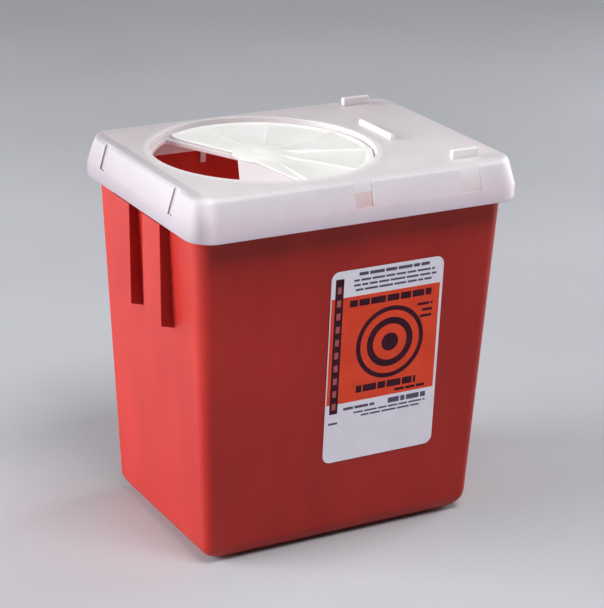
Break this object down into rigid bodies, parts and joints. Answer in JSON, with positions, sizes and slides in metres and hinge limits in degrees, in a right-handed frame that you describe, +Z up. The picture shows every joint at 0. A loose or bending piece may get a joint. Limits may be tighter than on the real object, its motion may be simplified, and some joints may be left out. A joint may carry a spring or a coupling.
{
  "type": "sharps container",
  "caption": "Counter-top sharps container: tapered rectangular tub, push-on lid with a round well, and a rotor that swings to open or close the drop opening.",
  "frame": {"origin": "on the table, under the middle of the tub", "axes": "+Z up; -Y is the way the labelled long face looks; +X runs along the long side, away from the rotor"},
  "size_m": [0.165, 0.1236, 0.1815],
  "materials": {
    "tub": "red polypropylene, satin",
    "lid": "natural translucent polypropylene, satin",
    "rotor": "white polypropylene, satin",
    "label": "printed white label stock"
  },
  "bodies": {
    "tub": {"tub": "tub", "label_front": "label"},
    "lid": {"lid": "lid"},
    "rotor": {"rotor": "rotor"}
  },
  "joints": [
    {"name": "lid_lift", "type": "slide", "parent": "tub", "child": "lid", "axis": [0, 0, 1], "range_m": [0, 0.04]},
    {"name": "rotor_turn", "type": "hinge", "parent": "lid", "child": "rotor", "pos_m": [-0.019, 0, 0.1755], "axis": [0, 0, 1], "range_deg": [0, 165]}
  ]
}
